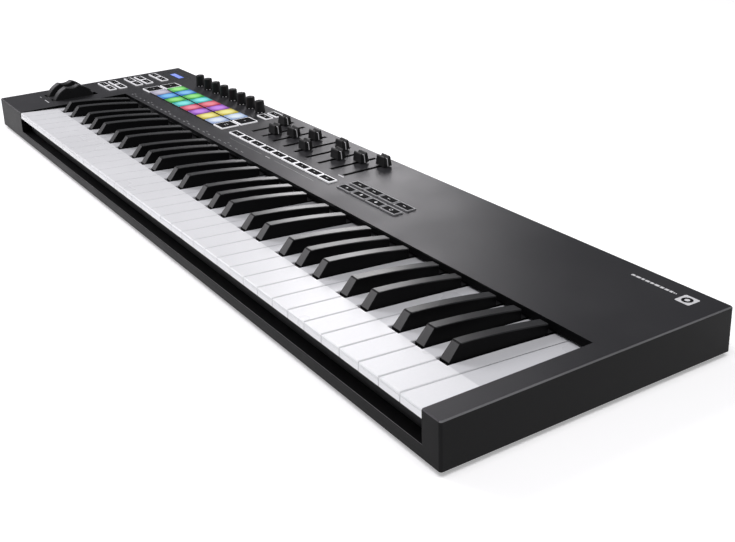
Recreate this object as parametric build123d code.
from build123d import *
import os

# A 61-note keyboard controller: a flat slab case with a sprung keybed at the front and pads,
# knobs, faders, wheels and buttons in its top panel. Millimetres. X runs from bass to treble,
# Y from the player to the back, Z up. The origin is at the centre of the case, on the surface
# that the feet stand on.

# ---- case ----
CASE_W = 955.0
CASE_D = 258.0
FOOT_H = 4.0
SLAB_H = 35.3
PANEL = FOOT_H + SLAB_H
SKIN = 2.5
WALL = 2.5
INNER_WALL = 2.0
FLOOR_T = 2.0
FLOOR_GAP = 0.3
CORNER_R = 2.0
TOP_CHAMFER = 0.9
UNDER_PANEL = PANEL - SKIN
FLOOR_TOP = FOOT_H + FLOOR_T

# ---- key opening ----
LEFT_CHEEK = 90.6
RIGHT_CHEEK = 18.4
OPENING_D = 141.0
APRON_BOTTOM = PANEL - 7.0
RAIL_TOP = FOOT_H + 9.5

# ---- keys, drawn level (pressed) and then raised to rest about the pivot ----
KEY_PITCH = 23.5
OCTAVE = 7 * KEY_PITCH
OCTAVES = 5
HEAD_GAP = 0.9
KEY_FRONT = 0.2
HEAD_BACK = 47.4
TAIL_DROP = 1.6
ARM_START = 172.0
KEY_BACK = 197.0
KEY_LEVEL = PANEL - 10.5
KEY_DEPTH = 6.9
KEY_SKIN = 2.2
KEY_WALL = 1.4
KEY_CHAMFER = 0.6
GROOVE = 0.4
SHARP_GAP = 1.25
ARM_TRIM = 1.4
TAIL_HOLLOW_BACK = 168.0
PIVOT_V = 185.0
PIVOT_Z = 22.3
PIVOT_R = 1.5
RUNNING = 0.05
KEY_TILT = 3.07
HINGE_FRONT = 179.0
HINGE_BACK = 190.5
HINGE_BOTTOM = PIVOT_Z - 3.0
LEG_V = (36.0, 43.0)
LEG_BOTTOM = 12.5
LEG_T = 1.8
ACTUATOR_V = (78.0, 86.0)
ACTUATOR_BOTTOM = 17.0
ACTUATOR_W = 5.0

# ---- sharps ----
SHARP_CENTRES = {"cs": 21.1, "ds": 49.4, "fs": 90.0, "gs": 117.5, "as": 145.0}
SHARP_W = 10.4
SHARP_FOOT = 50.0
SHARP_PROFILE = ((SHARP_FOOT, 0.0), (59.2, 11.7), (96.0, 10.6), (136.5, 7.0), (136.5, 0.0))
SHARP_TALLEST = 12.0
SHARP_DRAFT = 0.058
SHARP_BROW_R = 2.0
SHARP_CHAMFER = 0.6
SHARP_WALL = 1.8
SHARP_CORE_V = (66.0, 120.0)
SHARP_CORE_H = 5.0

# ---- key chassis ----
CHASSIS_MARGIN = 0.4
CHASSIS_V = (12.0, 206.0)
CHASSIS_Z = 8.0
CHASSIS_T = 2.0
BRACKET_T = 2.4
END_RIB_T = 1.0
RIB_V = (180.5, 189.5)
RIB_TOP = 26.0
STOP_FELT_V = (22.0, 32.0)
REST_FELT_V = (191.0, 198.0)
COMB_V = (150.0, 162.0)
FINGER_TIP = 176.0
COMB_T = 0.6
BOARD_T = 1.6
CONTACT_BOARD_V = (62.0, 100.0)
CONTACT_Z = 10.5
STOP_TOP = 19.4
REST_TOP = 16.8
COMB_Z = 17.0
FELT_T = 2.0
REST_FELT_T = 1.5
GUIDE_T = 1.5
GUIDE_GAP = 0.4
GUIDE_V = (37.0, 42.0)
GUIDE_TOP = 24.0
FINGER_W = 5.0

# ---- control grid, from the left front corner of the case ----
GRID = 24.1
FADER_PITCH = 24.22
PAD_COL_1 = 120.2
PAD_ROWS = (179.0, 203.8)
PAD_W = 22.8
PAD_D = 22.4
PAD_RISE = 1.6
PAD_COUNT = 8
BUTTON_W = 22.6
BUTTON_D = 10.2
BUTTON_RISE = 1.3
BUTTON_CAP_INSET = 1.4
BUTTON_CAP_T = 0.12
HOLE_GAP = 0.35
FLANGE_T = 1.2
FLANGE_EXTRA = 1.6
FLANGE_GAP = 0.35
STEM_BOTTOM = 34.5
PAD_BASE_T = 2.2
LEFT_BUTTON_COLS = (25.0, 49.6)
LEFT_BUTTON_ROWS = (135.4, 150.4, 173.5, 188.4, 210.6)
SIDE_COLS = (PAD_COL_1 - GRID, PAD_COL_1 + PAD_COUNT * GRID)
BANK_COL = 312.2
BANK_ROWS = (231.0, 245.0)
FADER_COL_1 = 353.9
FADER_BUTTON_V = 172.9
FADER_COUNT = 9
TRANSPORT_COL_1 = 584.0
TRANSPORT_ROWS = (173.2, 187.7)
TRANSPORT_COLS = 4

# ---- knobs ----
KNOB_V = 237.0
KNOB_R = 6.1
KNOB_TOP_R = 5.3
KNOB_H = 14.8
KNOB_LIFT = 0.4
KNOB_SKIRT = 1.2
KNOB_EDGE_R = 1.2
SHAFT_R = 3.0
SHAFT_TOP = PANEL + 11.0
BUSH_R = 3.6
SHAFT_CLEARANCE = 1.0
KNOB_HOLE_R = 3.9

# ---- faders ----
SLOT_V = (192.0, 246.4)
SLOT_W = 3.4
FADER_REST_V = (234.7, 208.8, 219.0, 232.4, 205.6, 236.7, 216.0, 228.5, 240.2)
CAP_W = 15.0
CAP_TOP_W = 12.6
CAP_D = 9.6
CAP_TOP_D = 8.0
CAP_H = 11.0
CAP_LIFT = 0.9
CAP_DIP = 2.4
CAP_RIDGE = 2.4
LEVER_W = 1.2
LEVER_D = 4.0
LEVER_BOTTOM = 33.6
LEVER_GRIP = 5.0
POT_W = 9.0
POT_V = (187.0, 247.5)
POT_TOP = 35.9

# ---- wheels ----
WHEEL_COLS = {"pitch_wheel": 31.7, "mod_wheel": 59.5}
WHEEL_W = 11.6
WHEEL_R = 28.6
WHEEL_V = 80.4
WHEEL_Z = PANEL - 12.0
WHEEL_HALF_ANGLE = 100.0
WHEEL_HUB_R = 9.0
WHEEL_BORE_R = 2.05
WHEEL_DIP_R = 17.0
WHEEL_DIP_DEPTH = 3.4
WHEEL_DIP_V = -2.4
WHEEL_CHAMFER = 0.9
WHEEL_SHOULDER_R = 1.2
WHEEL_SLOT_V = (51.4, 112.0)
WHEEL_SLOT_W = 13.2
AXLE_R = 2.0

# ---- display and rear sockets ----
DISPLAY_U = (20.0, 70.0)
DISPLAY_V = (224.0, 245.5)
WINDOW_T = 1.2
BOARD_TOP = 32.6
SWITCH_H = 0.6
FRAME_TOP = 35.6
BOARD_BACK = 247.0
USB_U = 118.0
MIDI_U = 152.0
JACK_U = 186.0
SOCKET_Z = 17.0
JACK_R = 3.25
JACK_LENGTH = 28.0

# ---- fasteners and feet ----
BOSS_R = 3.2
PILOT_R = 1.4
SCREW_R = 1.35
SCREW_HEAD_R = 2.6
SCREW_HEAD_T = 1.2
SCREW_LENGTH = 10.0
BOSSES = (
    (14.0, 14.0), (78.0, 14.0), (14.0, 122.0), (12.0, 251.0), (92.0, 251.0), (341.6, 251.0),
    (560.2, 251.0), (700.0, 251.0), (820.0, 251.0), (945.6, 251.0), (945.6, 20.0),
    (945.6, 130.0), (700.0, 222.0), (820.0, 222.0),
)
RAIL_BOSSES = ((250.0, 6.6), (480.0, 6.6), (710.0, 6.6))
RAIL_LEDGE_D = 11.2
RAIL_LEDGE_T = 2.0
RAIL_SCREW_LENGTH = 6.5
FEET = ((34.0, 34.0), (477.5, 30.0), (921.0, 34.0), (34.0, 224.0), (477.5, 228.0), (921.0, 224.0))
FOOT_R = 8.0
SUPPORT_R = 2.5
SUPPORTS = ((14, 140), (76, 140), (14, 234), (76, 234), (100, 212), (216, 212), (326, 212),
            (216, 242), (326, 242), (346, 212), (346, 242), (575, 212), (675, 212), (675, 242))
REST_COLS = (130.0, 300.0, 477.5, 680.0, 900.0)
REST_ROWS = (50.0, 125.0, 200.0)
SOCKET_BOARD_Z = 7.0
SOCKET_BOARD_RESTS = ((108, 231), (200, 231), (108, 251), (200, 251))
RIBBON_COLS = (230.0, 640.0)
RIBBON_V = (92.0, 212.3)
RIBBON_W = 20.0
RIBBON_T = 0.6
RIBBON_Z = 6.7

NATURALS = ("c", "d", "e", "f", "g", "a", "b")
KEY_START = LEFT_CHEEK


def at_u(u):
    """X of a place given by its distance from the left side of the case."""
    return u - CASE_W / 2


def at_v(v):
    """Y of a place given by its distance from the front of the case."""
    return v - CASE_D / 2


def block(u, v, z):
    """A box between two distances from the left side, from the front, and two heights."""
    size = Box(u[1] - u[0], v[1] - v[0], z[1] - z[0], align=(Align.MIN, Align.MIN, Align.MIN))
    return Pos(at_u(u[0]), at_v(v[0]), z[0]) * size


def centred(u, v, width, depth, z):
    """A box centred on a place of the panel, between two heights."""
    return block((u - width / 2, u + width / 2), (v - depth / 2, v + depth / 2), z)


def post(u, v, radius, z):
    """An upright cylinder between two heights."""
    body = Cylinder(radius, z[1] - z[0], align=(Align.CENTER, Align.CENTER, Align.MIN))
    return Pos(at_u(u), at_v(v), z[0]) * body


def bar_along_x(u, v, z, radius):
    """A round bar along X between two distances from the left side."""
    body = Cylinder(radius, u[1] - u[0], align=(Align.CENTER, Align.CENTER, Align.MIN))
    return Pos(at_u(u[0]), at_v(v), z) * Rot(0, 90, 0) * body


def profile_along_x(u, points):
    """A prism along X whose section is given as distances from the front and heights."""
    section = make_face(Polyline([(0, at_v(v), z) for v, z in points], close=True))
    return Pos(at_u(u[0]), 0, 0) * extrude(section, amount=u[1] - u[0], dir=(1, 0, 0))


def write(name, solids):
    """Write one node as a STEP file, as one solid or as a group of separate solids."""
    bodies = [body for shape in solids for body in shape.solids()]
    shape = bodies[0] if len(bodies) == 1 else Compound(children=bodies)
    export_step(shape, f"parts/{name}.step")
    print(f"{name}: {len(bodies)} solids")


# ---- places of the repeated controls ----
def pad_centres(row):
    return [(PAD_COL_1 + GRID * i, PAD_ROWS[row]) for i in range(PAD_COUNT)]


def button_groups():
    """Centres of each group of small buttons: (u, v, width, depth)."""
    left = [(u, v, BUTTON_W, BUTTON_D) for v in LEFT_BUTTON_ROWS for u in LEFT_BUTTON_COLS]
    side = [(u, v, PAD_W, PAD_D) for v in PAD_ROWS for u in SIDE_COLS]
    bank = [(BANK_COL, v, BUTTON_W, BUTTON_D) for v in BANK_ROWS]
    fader = [(FADER_COL_1 + FADER_PITCH * i, FADER_BUTTON_V, BUTTON_W, BUTTON_D)
             for i in range(FADER_COUNT)]
    transport = [(TRANSPORT_COL_1 + FADER_PITCH * i, v, BUTTON_W, BUTTON_D)
                 for v in TRANSPORT_ROWS for i in range(TRANSPORT_COLS)]
    return {
        "left_buttons": left,
        "mode_buttons": side + bank,
        "fader_buttons": fader,
        "transport_buttons": transport,
    }


def knob_centres():
    return [(PAD_COL_1 + GRID * i, KNOB_V) for i in range(PAD_COUNT)]


def fader_columns():
    return [FADER_COL_1 + FADER_PITCH * i for i in range(FADER_COUNT)]


# ---- case ----
def top_case():
    """Top moulding: panel, outer walls, cheek walls, apron and front rail."""
    outer = block((0, CASE_W), (0, CASE_D), (FOOT_H, PANEL))
    outer = fillet(outer.edges().filter_by(Axis.Z), CORNER_R)
    outer = chamfer(outer.faces().sort_by(Axis.Z)[-1].outer_wire().edges(), TOP_CHAMFER)
    hollow = block((WALL, CASE_W - WALL), (WALL, CASE_D - WALL), (FOOT_H, UNDER_PANEL))
    right = CASE_W - RIGHT_CHEEK
    opening = [
        block((LEFT_CHEEK, right), (0, OPENING_D), (RAIL_TOP, PANEL)),
    ]
    case = outer - hollow - opening
    inner = FLOOR_TOP + FLOOR_GAP
    walls = [
        block((LEFT_CHEEK, right), (WALL, RAIL_LEDGE_D), (RAIL_TOP - RAIL_LEDGE_T, RAIL_TOP)),
        block((LEFT_CHEEK - INNER_WALL, LEFT_CHEEK), (WALL, OPENING_D), (inner, UNDER_PANEL)),
        block((right, right + INNER_WALL), (WALL, OPENING_D), (inner, UNDER_PANEL)),
        block((LEFT_CHEEK - INNER_WALL, right + INNER_WALL), (OPENING_D, OPENING_D + WALL),
              (APRON_BOTTOM, UNDER_PANEL)),
    ]
    posts = [post(u, v, BOSS_R, (inner, UNDER_PANEL)) for u, v in BOSSES]
    posts += [post(u, v, BOSS_R, (inner, RAIL_TOP)) for u, v in RAIL_BOSSES]
    case = case + walls + posts
    pilots = [post(u, v, PILOT_R, (inner, inner + SCREW_LENGTH)) for u, v in BOSSES]
    pilots += [post(u, v, PILOT_R, (inner, RAIL_TOP - 1)) for u, v in RAIL_BOSSES]
    return case - pilots - panel_cuts() - socket_cuts()


def panel_cuts():
    """Every hole through the top panel."""
    through = (UNDER_PANEL, PANEL)
    cuts = []
    for row in (0, 1):
        for u, v in pad_centres(row):
            cuts.append(centred(u, v, PAD_W + 2 * HOLE_GAP, PAD_D + 2 * HOLE_GAP, through))
    for places in button_groups().values():
        for u, v, width, depth in places:
            cuts.append(centred(u, v, width + 2 * HOLE_GAP, depth + 2 * HOLE_GAP, through))
    for u, v in knob_centres():
        cuts.append(post(u, v, KNOB_HOLE_R, through))
    for u in fader_columns():
        cuts.append(block((u - SLOT_W / 2, u + SLOT_W / 2), SLOT_V, through))
    for u in WHEEL_COLS.values():
        cuts.append(block((u - WHEEL_SLOT_W / 2, u + WHEEL_SLOT_W / 2), WHEEL_SLOT_V, through))
    cuts.append(block(DISPLAY_U, DISPLAY_V, (PANEL - WINDOW_T, PANEL)))
    cuts.append(block((DISPLAY_U[0] + 4, DISPLAY_U[1] - 4), (DISPLAY_V[0] + 3, DISPLAY_V[1] - 3),
                      through))
    return cuts


def socket_cuts():
    """Holes in the rear wall for the sockets."""
    rear = (CASE_D - WALL, CASE_D)
    usb = centred(USB_U, CASE_D - WALL / 2, 12.6, WALL, (SOCKET_Z - 6.0, SOCKET_Z + 6.0))
    holes = [usb]
    for u, radius in ((MIDI_U, 7.8), (JACK_U, 5.3)):
        hole = Cylinder(radius, rear[1] - rear[0], align=(Align.CENTER, Align.CENTER, Align.MIN))
        holes.append(Pos(at_u(u), at_v(rear[1]), SOCKET_Z) * Rot(90, 0, 0) * hole)
    return holes


def bottom_case():
    """Floor plate that closes the top moulding from below, with posts for the boards."""
    inset = WALL + FLOOR_GAP
    floor = block((inset, CASE_W - inset), (inset, CASE_D - inset), (FOOT_H, FLOOR_TOP))
    supports = [post(u, v, SUPPORT_R, (FLOOR_TOP, BOARD_TOP - BOARD_T)) for u, v in SUPPORTS]
    rests = [centred(u, v, 12.0, 8.0, (FLOOR_TOP, CHASSIS_Z)) for v in REST_ROWS for u in REST_COLS]
    rests += [post(u, v, SUPPORT_R, (FLOOR_TOP, SOCKET_BOARD_Z)) for u, v in SOCKET_BOARD_RESTS]
    plate = floor + supports + rests
    heads = [post(u, v, SCREW_HEAD_R + 0.1, (FOOT_H, FOOT_H + SCREW_HEAD_T))
             for u, v in BOSSES + RAIL_BOSSES]
    shanks = [post(u, v, PILOT_R, (FOOT_H, FLOOR_TOP)) for u, v in BOSSES + RAIL_BOSSES]
    sockets = [post(u, v, FOOT_R - 2.0, (FOOT_H, FOOT_H + 0.8)) for u, v in FEET]
    return plate - heads - shanks - sockets


def rubber_feet():
    """Round feet, each with a plug that sits in the floor plate."""
    feet = []
    for u, v in FEET:
        pad = post(u, v, FOOT_R, (0, FOOT_H))
        pad = chamfer(pad.edges().sort_by(Axis.Z)[0], 0.8)
        feet.append(pad + post(u, v, FOOT_R - 2.05, (FOOT_H, FOOT_H + 0.75)))
    return feet


def case_screws():
    """Pan head screws that hold the floor plate to the bosses."""
    screws = []
    for u, v in BOSSES + RAIL_BOSSES:
        length = SCREW_LENGTH if (u, v) in BOSSES else RAIL_SCREW_LENGTH
        head = post(u, v, SCREW_HEAD_R, (FOOT_H + 0.1, FOOT_H + SCREW_HEAD_T - 0.05))
        shank = post(u, v, SCREW_R, (FOOT_H + 0.1, FOOT_H + length))
        drive = centred(u, v, 2.4, 0.6, (FOOT_H + 0.1, FOOT_H + 0.7))
        drive += centred(u, v, 0.6, 2.4, (FOOT_H + 0.1, FOOT_H + 0.7))
        screws.append(head + shank - drive)
    return screws


# ---- keys ----
def raise_key(key):
    """Turn a level key up to its rest place about the pivot rod."""
    axis = Axis((0, at_v(PIVOT_V), PIVOT_Z), (1, 0, 0))
    return key.rotate(axis, -KEY_TILT)


def pivot_bore(u):
    return bar_along_x(u, PIVOT_V, PIVOT_Z, PIVOT_R + RUNNING)


def natural_span(letter, start):
    """Left and right edges of a natural's head and of its tail, from the left side."""
    index = NATURALS.index(letter)
    head = (start + index * KEY_PITCH + HEAD_GAP / 2,
            start + (index + 1) * KEY_PITCH - HEAD_GAP / 2)
    reach = SHARP_W / 2 + SHARP_GAP
    left = {"d": "cs", "e": "ds", "g": "fs", "a": "gs", "b": "as"}.get(letter)
    right = {"c": "cs", "d": "ds", "f": "fs", "g": "gs", "a": "as"}.get(letter)
    tail_left = start + SHARP_CENTRES[left] + reach if left else head[0]
    tail_right = start + SHARP_CENTRES[right] - reach if right else head[1]
    return head, (tail_left, tail_right)


def natural_key(letter, start, last=False):
    """One natural key: a hollow cap with head and tail, hinge eye, leg and actuator."""
    head, tail = natural_span(letter, start)
    if last:
        tail = head
    arm = (tail[0] + (ARM_TRIM if letter in "cf" else 0),
           tail[1] - (ARM_TRIM if letter in "eb" or last else 0))
    top = KEY_LEVEL
    bottom = top - KEY_DEPTH
    key = block(head, (KEY_FRONT, HEAD_BACK), (bottom, top))
    key += block(tail, (HEAD_BACK, ARM_START), (bottom, top))
    key += block(arm, (ARM_START, HINGE_BACK), (bottom, top))
    key = chamfer(key.faces().sort_by(Axis.Z)[-1].outer_wire().edges(), KEY_CHAMFER)
    ceiling = top - KEY_SKIN
    inside = [
        block((head[0] + KEY_WALL, head[1] - KEY_WALL),
              (KEY_FRONT + KEY_WALL, HEAD_BACK - KEY_WALL), (bottom, ceiling)),
        block((tail[0] + KEY_WALL, tail[1] - KEY_WALL), (HEAD_BACK - 2 * KEY_WALL, TAIL_HOLLOW_BACK),
              (bottom, ceiling)),
    ]
    groove = block(head, (KEY_FRONT, KEY_FRONT + GROOVE), (ceiling - GROOVE / 2, ceiling + GROOVE / 2))
    middle = (head[0] + head[1]) / 2
    tail_middle = (tail[0] + tail[1]) / 2
    added = [
        block(arm, (HINGE_FRONT, HINGE_BACK), (HINGE_BOTTOM, bottom)),
        block(arm, (HINGE_BACK, KEY_BACK), (HINGE_BOTTOM, PIVOT_Z)),
        block((middle - LEG_T / 2, middle + LEG_T / 2), LEG_V, (LEG_BOTTOM, ceiling)),
        block((tail_middle - ACTUATOR_W / 2, tail_middle + ACTUATOR_W / 2), ACTUATOR_V,
              (ACTUATOR_BOTTOM, ceiling)),
    ]
    crease = HEAD_BACK + KEY_CHAMFER
    fall = profile_along_x(tail, [(crease, top), (KEY_BACK, top - TAIL_DROP), (KEY_BACK, top + 1),
                                  (crease, top + 1)])
    key = key - inside - groove - fall + added - pivot_bore(arm)
    return raise_key(key)


def sharp_crown(u):
    """The part of a sharp above the naturals: raked front, arched top and drafted sides."""
    foot, brow, middle, end, heel = [
        Vector(at_u(u) - SHARP_W / 2, at_v(v), KEY_LEVEL + h) for v, h in SHARP_PROFILE]
    outline = [Line(foot, brow), ThreePointArc(brow, middle, end), Line(end, heel), Line(heel, foot)]
    prism = extrude(make_face(outline), amount=SHARP_W, dir=(1, 0, 0))
    low = SHARP_W / 2
    high = low - SHARP_TALLEST * SHARP_DRAFT
    ends = Polyline([(at_u(u) + x, foot.Y, KEY_LEVEL + h) for x, h in (
        (-low, 0), (low, 0), (high, SHARP_TALLEST), (-high, SHARP_TALLEST))], close=True)
    crown = prism & extrude(make_face(ends), amount=heel.Y - foot.Y, dir=(0, 1, 0))
    crown = fillet(crown.edges().filter_by(Axis.X).sort_by(Axis.Z)[-1], SHARP_BROW_R)
    rims = [edge for edge in crown.edges()
            if edge.center().Z > KEY_LEVEL + 3 and edge.bounding_box().size.X < SHARP_W / 4]
    return chamfer(rims, SHARP_CHAMFER)


def sharp_key(name, start):
    """One sharp key: crown, hollow body, hinge eye and actuator."""
    u = start + SHARP_CENTRES[name]
    half = SHARP_W / 2
    bottom = KEY_LEVEL - KEY_DEPTH
    crown = sharp_crown(u)
    body = block((u - half, u + half), (SHARP_FOOT, HINGE_BACK), (bottom, KEY_LEVEL))
    inside = [
        block((u - half + KEY_WALL, u + half - KEY_WALL), (SHARP_FOOT + 4, TAIL_HOLLOW_BACK),
              (bottom, KEY_LEVEL - KEY_SKIN)),
        block((u - half + SHARP_WALL, u + half - SHARP_WALL), SHARP_CORE_V,
              (KEY_LEVEL - KEY_SKIN, KEY_LEVEL + SHARP_CORE_H)),
    ]
    added = [
        block((u - half, u + half), (HINGE_FRONT, HINGE_BACK), (HINGE_BOTTOM, bottom)),
        block((u - half, u + half), (HINGE_BACK, KEY_BACK), (HINGE_BOTTOM, PIVOT_Z)),
        block((u - ACTUATOR_W / 2, u + ACTUATOR_W / 2), ACTUATOR_V,
              (ACTUATOR_BOTTOM, KEY_LEVEL + SHARP_CORE_H)),
    ]
    key = body + crown - inside + added - pivot_bore((u - half, u + half))
    return raise_key(key)


def key_groups():
    """Fifteen groups: for each octave the C E G B naturals, the D F A naturals, the sharps."""
    groups = {}
    for octave in range(OCTAVES):
        start = KEY_START + octave * OCTAVE
        number = octave + 1
        outer = [natural_key(letter, start) for letter in "cegb"]
        if number == OCTAVES:
            outer.append(natural_key("c", start + OCTAVE, last=True))
        groups[f"naturals_cegb_{number}"] = outer
        groups[f"naturals_dfa_{number}"] = [natural_key(letter, start) for letter in "dfa"]
        groups[f"sharps_{number}"] = [sharp_key(name, start) for name in SHARP_CENTRES]
    return groups


# ---- what carries the keys ----
def chassis_span():
    return (LEFT_CHEEK + CHASSIS_MARGIN, CASE_W - RIGHT_CHEEK - CHASSIS_MARGIN)


def bracket_places():
    """Left edges of the ribs that carry the pivot rod, between E and F and between B and C."""
    places = []
    for octave in range(OCTAVES):
        start = KEY_START + octave * OCTAVE
        places += [start + 3 * KEY_PITCH, start + OCTAVE]
    return places


def natural_middles():
    return [KEY_START + (i + 0.5) * KEY_PITCH for i in range(7 * OCTAVES + 1)]


def key_middles():
    """Middle of every key where its actuator is, in order from the left."""
    middles = []
    for octave in range(OCTAVES):
        start = KEY_START + octave * OCTAVE
        for letter in NATURALS:
            tail = natural_span(letter, start)[1]
            middles.append((tail[0] + tail[1]) / 2)
        middles += [start + centre for centre in SHARP_CENTRES.values()]
    middles.append(KEY_START + OCTAVES * OCTAVE + KEY_PITCH / 2)
    return sorted(middles)


def key_chassis():
    """Moulded tray under the keys, with stops, guides, board rails and pivot ribs."""
    span = chassis_span()
    top = CHASSIS_Z + CHASSIS_T
    parts = [
        block(span, CHASSIS_V, (CHASSIS_Z, top)),
        block(span, (CHASSIS_V[0], CHASSIS_V[0] + 2), (top, STOP_TOP)),
        block(span, STOP_FELT_V, (top, STOP_TOP)),
        block(span, COMB_V, (top, COMB_Z)),
        block(span, REST_FELT_V, (top, REST_TOP)),
    ]
    for v in (CONTACT_BOARD_V[0] + 2, CONTACT_BOARD_V[1] - 4):
        parts.append(block(span, (v, v + 2), (top, CONTACT_Z)))
    for middle in natural_middles():
        for side in (-1, 1):
            u = middle + side * (LEG_T + GUIDE_T + 2 * GUIDE_GAP) / 2
            parts.append(block((u - GUIDE_T / 2, u + GUIDE_T / 2), GUIDE_V, (top, GUIDE_TOP)))
    ribs = [(u - BRACKET_T / 2, u + BRACKET_T / 2) for u in bracket_places()]
    ribs += [(span[0], span[0] + END_RIB_T), (span[1] - END_RIB_T, span[1])]
    for rib in ribs:
        parts.append(block(rib, RIB_V, (top, RIB_TOP)))
    tray = parts[0] + parts[1:]
    slots = [centred(u, RIBBON_V[0], RIBBON_W + 4, 3.0, (CHASSIS_Z, CONTACT_Z)) for u in RIBBON_COLS]
    bore = bar_along_x((span[0], span[1]), PIVOT_V, PIVOT_Z, PIVOT_R + RUNNING)
    return tray - slots - bore


def key_pivot_rod():
    return bar_along_x(chassis_span(), PIVOT_V, PIVOT_Z, PIVOT_R)


def key_spring_comb():
    """Leaf spring strip with one finger under each key's arm."""
    comb = block(chassis_span(), COMB_V, (COMB_Z, COMB_Z + COMB_T))
    tip = KEY_LEVEL - KEY_DEPTH - 0.5
    root = COMB_V[1]
    section = [(root - 1, COMB_Z), (root, COMB_Z), (FINGER_TIP, tip - COMB_T),
               (FINGER_TIP, tip), (root, COMB_Z + COMB_T), (root - 1, COMB_Z + COMB_T)]
    fingers = [profile_along_x((u - FINGER_W / 2, u + FINGER_W / 2), section)
               for u in key_middles()]
    return comb + fingers


def key_felts():
    """Front stop felt and rear rest felt, glued to the tray."""
    span = chassis_span()
    return [
        block(span, STOP_FELT_V, (STOP_TOP, STOP_TOP + FELT_T)),
        block(span, REST_FELT_V, (REST_TOP, REST_TOP + REST_FELT_T)),
    ]


def key_contact_board():
    board = block(chassis_span(), CONTACT_BOARD_V, (CONTACT_Z, CONTACT_Z + BOARD_T))
    notches = [centred(u, RIBBON_V[0], RIBBON_W + 4, 3.0, (CONTACT_Z, CONTACT_Z + BOARD_T))
               for u in RIBBON_COLS]
    return board - notches


def key_contact_strips():
    """Silicone strips, one to an octave, with a dome under every key."""
    base = CONTACT_Z + BOARD_T
    strips = []
    for octave in range(OCTAVES):
        left = KEY_START + octave * OCTAVE + CHASSIS_MARGIN + 0.4
        right = KEY_START + (octave + 1) * OCTAVE + 1.0
        if octave == OCTAVES - 1:
            right = CASE_W - RIGHT_CHEEK - CHASSIS_MARGIN
        strip = block((left, right), (76.0, 88.0), (base, base + 0.8))
        domes = [post(u, 82.0, 3.0, (base + 0.8, ACTUATOR_BOTTOM - 0.4))
                 for u in key_middles() if left < u < right]
        strips.append(strip + domes)
    return strips


# ---- boards, cables and sockets ----
def control_boards():
    """Boards under the panel, and the socket board on the floor, with their switches."""
    bottom = BOARD_TOP - BOARD_T
    boards = [
        block((8.0, 80.0), (128.0, BOARD_BACK), (bottom, BOARD_TOP)),
        block((84.0, 336.0), (156.0, BOARD_BACK), (bottom, BOARD_TOP)),
        block((340.0, 680.0), (156.0, BOARD_BACK), (bottom, BOARD_TOP)),
    ]
    groups = button_groups()
    switches = [centred(u, v, 6.0, 6.0, (BOARD_TOP, BOARD_TOP + SWITCH_H))
                for places in groups.values() for u, v, _, _ in places]
    left = [s for s in switches if s.center().X < at_u(82.0)]
    middle = [s for s in switches if at_u(82.0) < s.center().X < at_u(338.0)]
    right = [s for s in switches if s.center().X > at_u(338.0)]
    io_board = block((104.0, 204.0), (226.0, CASE_D - WALL - 0.5),
                     (SOCKET_BOARD_Z, SOCKET_BOARD_Z + BOARD_T))
    return [boards[0] + left, boards[1] + middle, boards[2] + right, io_board]


def ribbon_cables():
    """Flat cables from the key contact board, under the tray, up to the control boards."""
    front, back = RIBBON_V
    half = RIBBON_T / 2
    cables = []
    for u in RIBBON_COLS:
        rise = centred(u, front, RIBBON_W, RIBBON_T, (RIBBON_Z, CONTACT_Z + BOARD_T))
        run = block((u - RIBBON_W / 2, u + RIBBON_W / 2), (front - half, back + half),
                    (RIBBON_Z, RIBBON_Z + RIBBON_T))
        end = centred(u, back, RIBBON_W, RIBBON_T, (RIBBON_Z, BOARD_TOP - BOARD_T))
        cables.append(rise + run + end)
    return cables


def display_module():
    """Liquid crystal module on its board, behind the window."""
    glass = block((DISPLAY_U[0] + 4.4, DISPLAY_U[1] - 4.4), (DISPLAY_V[0] + 3.4, DISPLAY_V[1] - 3.4),
                  (FRAME_TOP, PANEL - WINDOW_T - 0.3))
    frame = block((DISPLAY_U[0] + 1, DISPLAY_U[1] - 1), (DISPLAY_V[0], DISPLAY_V[1]),
                  (BOARD_TOP, FRAME_TOP))
    return [glass + frame]


def display_window():
    gap = 0.1
    return block((DISPLAY_U[0] + gap, DISPLAY_U[1] - gap), (DISPLAY_V[0] + gap, DISPLAY_V[1] - gap),
                 (PANEL - WINDOW_T, PANEL - 0.05))


def rear_cylinder(u, radius, length):
    """A cylinder along Y that starts at the rear face and runs into the case."""
    body = Cylinder(radius, length, align=(Align.CENTER, Align.CENTER, Align.MIN))
    return Pos(at_u(u), at_v(CASE_D - 0.2), SOCKET_Z) * Rot(90, 0, 0) * body


def usb_port():
    """Square computer socket with its tongue."""
    depth = (CASE_D - 17.0, CASE_D - 0.2)
    shell = block((USB_U - 6.0, USB_U + 6.0), depth, (SOCKET_Z - 5.5, SOCKET_Z + 5.5))
    mouth = block((USB_U - 4.3, USB_U + 4.3), (CASE_D - 12.0, CASE_D - 0.2),
                  (SOCKET_Z - 4.0, SOCKET_Z + 4.0))
    tongue = block((USB_U - 2.9, USB_U + 2.9), (CASE_D - 12.0, CASE_D - 1.4),
                   (SOCKET_Z - 1.6, SOCKET_Z + 1.6))
    leg = block((USB_U - 6.0, USB_U + 6.0), (CASE_D - 17.0, CASE_D - WALL - 0.3),
                (SOCKET_BOARD_Z + BOARD_T, SOCKET_Z - 5.5))
    return shell - mouth + tongue + leg


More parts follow.
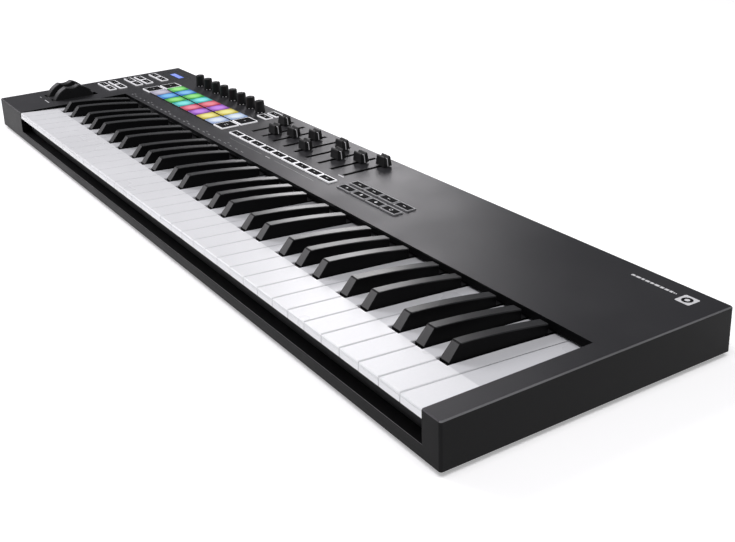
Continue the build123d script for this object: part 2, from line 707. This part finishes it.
def midi_port():
    """Round five pole socket: a metal ring round an insulator with five holes."""
    body = rear_cylinder(MIDI_U, 7.6, 18.0)
    groove = rear_cylinder(MIDI_U, 6.8, 9.0) - rear_cylinder(MIDI_U, 6.0, 9.0)
    holes = []
    for angle in (0, 45, 90, 135, 180):
        pin = Vector(4.4, 0, 0).rotate(Axis.Y, -angle)
        hole = Pos(pin.X, 0, pin.Z) * rear_cylinder(MIDI_U, 0.8, 8.0)
        holes.append(hole)
    base = block((MIDI_U - 6.0, MIDI_U + 6.0), (CASE_D - 18.0, CASE_D - WALL - 0.3),
                 (SOCKET_BOARD_Z + BOARD_T, SOCKET_Z - 6.5))
    return body - groove - holes + base


def sustain_jack():
    """Pedal socket: a threaded nose with a plain bore for a quarter inch plug."""
    nose = rear_cylinder(JACK_U, 5.1, 6.0)
    body = block((JACK_U - 6.5, JACK_U + 6.5), (CASE_D - 32.0, CASE_D - WALL - 0.3),
                 (SOCKET_BOARD_Z + BOARD_T, SOCKET_Z + 6.5))
    return body + nose - rear_cylinder(JACK_U, JACK_R, JACK_LENGTH)


# ---- controls ----
def silicone_button(u, v, width, depth):
    """A button: silicone block with a raised cap, a retaining flange and a stem."""
    top = PANEL + BUTTON_RISE
    body = centred(u, v, width, depth, (UNDER_PANEL - FLANGE_GAP, top - BUTTON_CAP_T))
    body = fillet(body.edges().filter_by(Axis.Z), 0.6)
    cap_w = width - 2 * BUTTON_CAP_INSET
    cap_d = depth - 2 * BUTTON_CAP_INSET
    cap = centred(u, v, cap_w, cap_d, (top - BUTTON_CAP_T, top))
    cap = fillet(cap.edges().filter_by(Axis.Z), 0.5)
    flange_top = UNDER_PANEL - FLANGE_GAP
    flange = centred(u, v, width, depth + FLANGE_EXTRA, (flange_top - FLANGE_T, flange_top))
    stem = post(u, v, 2.0, (STEM_BOTTOM, flange_top - FLANGE_T))
    return body + cap + flange + stem


def pad(u, v):
    """A playing pad: thick translucent silicone with a softened top edge."""
    body = centred(u, v, PAD_W, PAD_D, (UNDER_PANEL - FLANGE_GAP, PANEL + PAD_RISE))
    body = fillet(body.edges().filter_by(Axis.Z), 1.2)
    body = fillet(body.faces().sort_by(Axis.Z)[-1].outer_wire().edges(), 0.6)
    top = UNDER_PANEL - FLANGE_GAP
    base = centred(u, v, PAD_W, PAD_D + FLANGE_EXTRA, (top - PAD_BASE_T, top))
    return body + base


def knob(u, v):
    """A tapered knob on its shaft."""
    bottom = PANEL + KNOB_LIFT
    top = PANEL + KNOB_H
    outline = Polyline((0, bottom), (KNOB_R, bottom), (KNOB_R, bottom + KNOB_SKIRT),
                       (KNOB_TOP_R, top), (0, top), close=True)
    section = make_face([(Plane.XZ * line) for line in outline.edges()])
    body = revolve(section, Axis.Z)
    body = fillet(body.edges().sort_by(Axis.Z)[-1], KNOB_EDGE_R)
    bore = Cylinder(SHAFT_R + 0.03, SHAFT_TOP + 0.1 - bottom,
                    align=(Align.CENTER, Align.CENTER, Align.MIN))
    body = Pos(at_u(u), at_v(v), 0) * (body - Pos(0, 0, bottom) * bore)
    shaft = post(u, v, SHAFT_R, (BOARD_TOP + SHAFT_CLEARANCE, SHAFT_TOP))
    return [body, shaft]


def rotary_pots():
    """Rotary sensors: one under each knob, and one beside each wheel."""
    sensors = []
    for u, v in knob_centres():
        can = centred(u, v, 11.0, 12.0, (BOARD_TOP, FRAME_TOP))
        can += post(u, v, BUSH_R, (FRAME_TOP, PANEL - 0.3))
        can -= post(u, v, SHAFT_R + RUNNING, (BOARD_TOP + SHAFT_CLEARANCE / 2, PANEL - 0.3))
        sensors.append(can)
    for u in WHEEL_COLS.values():
        side = u + WHEEL_W / 2 + 3.4
        can = block((side, side + 3.6), (WHEEL_V - 6, WHEEL_V + 6), (WHEEL_Z - 6, WHEEL_Z + 6))
        bore = bar_along_x((side, side + 3.6), WHEEL_V, WHEEL_Z, AXLE_R + RUNNING)
        sensors.append(can - bore)
    return sensors


def fader(u, v):
    """A fader: cap with a finger dip, and the lever that carries it."""
    bottom = PANEL + CAP_LIFT
    top = PANEL + CAP_H
    half = CAP_D / 2
    top_half = CAP_TOP_D / 2
    right_side = [(half, bottom), (top_half, top - 0.8), (top_half - 0.6, top), (CAP_RIDGE, top),
                  (CAP_RIDGE / 2, top - CAP_DIP * 0.8), (0, top - CAP_DIP)]
    left_side = [(-y, z) for y, z in reversed(right_side[:-1])]
    section = [(v + y, z) for y, z in right_side + left_side]
    cap = profile_along_x((u - CAP_W / 2, u + CAP_W / 2), section)
    taper = make_face(Polyline([(at_u(u) + x, 0, z) for x, z in (
        (-CAP_W / 2, bottom), (CAP_W / 2, bottom), (CAP_TOP_W / 2, top), (-CAP_TOP_W / 2, top))],
        close=True))
    cap = cap & (Pos(0, at_v(v + half), 0) * extrude(taper, amount=CAP_D, dir=(0, -1, 0)))
    pocket = centred(u, v, LEVER_W + 0.06, LEVER_D + 0.06, (bottom, bottom + LEVER_GRIP + 0.05))
    lever = centred(u, v, LEVER_W, LEVER_D, (LEVER_BOTTOM, bottom + LEVER_GRIP))
    return [cap - pocket, lever]


def fader_bodies():
    """Slide sensors under the fader slots, each open along its top for the lever."""
    bodies = []
    for u in fader_columns():
        can = block((u - POT_W / 2, u + POT_W / 2), POT_V, (BOARD_TOP, POT_TOP))
        channel = block((u - 1.0, u + 1.0), (SLOT_V[0] + 0.5, SLOT_V[1] - 0.5),
                        (LEVER_BOTTOM - 0.5, POT_TOP))
        bodies.append(can - channel)
    return bodies


def wheel(u):
    """A sector wheel with a finger dip in its rim, drawn at the origin and then placed."""
    rim = Pos(0, 0) * Circle(WHEEL_R)
    reach = 2 * WHEEL_R
    low = Vector(0, -reach).rotate(Axis.Z, 180 - WHEEL_HALF_ANGLE)
    wedge = make_face(Polyline((0, 0), (low.X, low.Y), (reach, -reach), (-reach, -reach),
                               (-low.X, low.Y), close=True))
    dip = Pos(WHEEL_DIP_V, WHEEL_R - WHEEL_DIP_DEPTH + WHEEL_DIP_R) * Circle(WHEEL_DIP_R)
    section = rim - wedge + Circle(WHEEL_HUB_R) - dip
    body = extrude(section, amount=WHEEL_W / 2, both=True)
    shoulders = body.edges().filter_by(Axis.Z).sort_by(Axis.Y)[-2:]
    body = fillet(shoulders, WHEEL_SHOULDER_R)
    sides = [face for face in body.faces() if abs(face.normal_at().Z) > 0.99]
    rims = [edge for face in sides for edge in face.outer_wire().edges()]
    body = chamfer(rims, WHEEL_CHAMFER)
    body -= Cylinder(WHEEL_BORE_R, 2 * WHEEL_W)
    turned = Plane(origin=(at_u(u), at_v(WHEEL_V), WHEEL_Z), x_dir=(0, 1, 0), z_dir=(1, 0, 0))
    return turned * body


def wheel_bracket():
    """Frame beside both wheels, with the axle that they turn on."""
    lines = sorted(WHEEL_COLS.values())
    edges = []
    for u in lines:
        edges += [u - WHEEL_W / 2 - 3.0, u + WHEEL_W / 2 + 0.6]
    plates = [block((edge, edge + 2.4), (WHEEL_V - 9, WHEEL_V + 9), (FLOOR_TOP, 35.5))
              for edge in edges]
    foot = [block((edges[0], edges[1] + 2.4), (WHEEL_V + s * 7 - 2, WHEEL_V + s * 7 + 2),
                  (FLOOR_TOP, FLOOR_TOP + 0.6)) for s in (-1, 1)]
    foot += [block((edges[2], edges[3] + 2.4), (WHEEL_V + s * 7 - 2, WHEEL_V + s * 7 + 2),
                   (FLOOR_TOP, FLOOR_TOP + 0.6)) for s in (-1, 1)]
    link = block((edges[1], edges[2] + 2.4), (WHEEL_V - 9, WHEEL_V - 7), (FLOOR_TOP, 12.0))
    frame = plates[0] + plates[1:] + foot + link
    span = (edges[0], edges[3] + 6.4)
    frame -= bar_along_x(span, WHEEL_V, WHEEL_Z, AXLE_R + 0.02)
    axle = bar_along_x(span, WHEEL_V, WHEEL_Z, AXLE_R)
    return [frame, axle]


def main():
    os.makedirs("parts", exist_ok=True)
    write("top_case", [top_case()])
    write("bottom_case", [bottom_case()])
    write("rubber_feet", rubber_feet())
    write("case_screws", case_screws())
    for name, keys in key_groups().items():
        write(name, keys)
    write("key_chassis", [key_chassis()])
    write("key_pivot_rod", [key_pivot_rod()])
    write("key_spring_comb", [key_spring_comb()])
    write("key_felts", key_felts())
    write("key_contact_board", [key_contact_board()])
    write("key_contact_strips", key_contact_strips())
    write("control_boards", control_boards())
    write("ribbon_cables", ribbon_cables())
    write("display_module", display_module())
    write("display_window", [display_window()])
    write("usb_port", [usb_port()])
    write("midi_port", [midi_port()])
    write("sustain_jack", [sustain_jack()])
    for name, places in button_groups().items():
        write(name, [silicone_button(*place) for place in places])
    for name, row in (("pads_front", 0), ("pads_rear", 1)):
        write(name, [pad(u, v) for u, v in pad_centres(row)])
    for number, (u, v) in enumerate(knob_centres(), start=1):
        write(f"knob_{number}", knob(u, v))
    write("rotary_pots", rotary_pots())
    for number, (u, v) in enumerate(zip(fader_columns(), FADER_REST_V), start=1):
        write(f"fader_{number}", fader(u, v))
    write("fader_bodies", fader_bodies())
    for name, u in WHEEL_COLS.items():
        write(name, [wheel(u)])
    write("wheel_bracket", wheel_bracket())


main()
